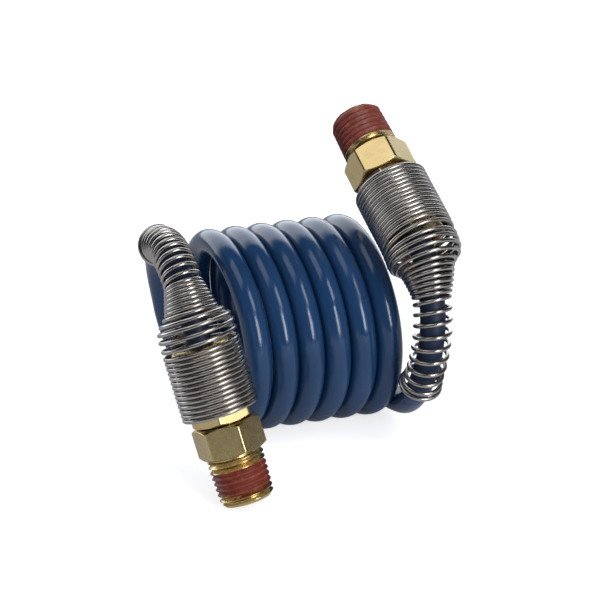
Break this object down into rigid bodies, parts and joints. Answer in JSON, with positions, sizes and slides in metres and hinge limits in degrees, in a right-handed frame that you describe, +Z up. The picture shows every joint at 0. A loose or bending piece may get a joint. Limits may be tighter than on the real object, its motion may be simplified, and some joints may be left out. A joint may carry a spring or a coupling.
{
  "type": "pressure gauge hose",
  "caption": "Coiled flexible hose for connecting a pressure gauge, with a hexagonal taper-thread fitting and a wound wire bend guard at each end.",
  "frame": {"origin": "on the plane it lies on, under the middle of the bounding box of the metal end pieces, the hose left out", "axes": "+Z up from the plane it lies on, +X along the coil's axis from the left fitting to the right one, +Y away from the side seen in the picture"},
  "size_m": [0.0788, 0.0778, 0.0812],
  "materials": {
    "brass": "machined and bright, slightly dulled",
    "spring_wire": "bright drawn spring wire",
    "hose": "smooth glossy blue nylon"
  },
  "bodies": {
    "root": {"left_connector": "brass", "left_nut": "brass", "left_ferrule": "brass", "left_spring_guard": "spring_wire", "left_hose_tail": "hose", "right_connector": "brass", "right_nut": "brass", "right_ferrule": "brass", "right_spring_guard": "spring_wire", "right_hose_tail": "hose", "hose_coil": "hose"}
  },
  "joints": []
}
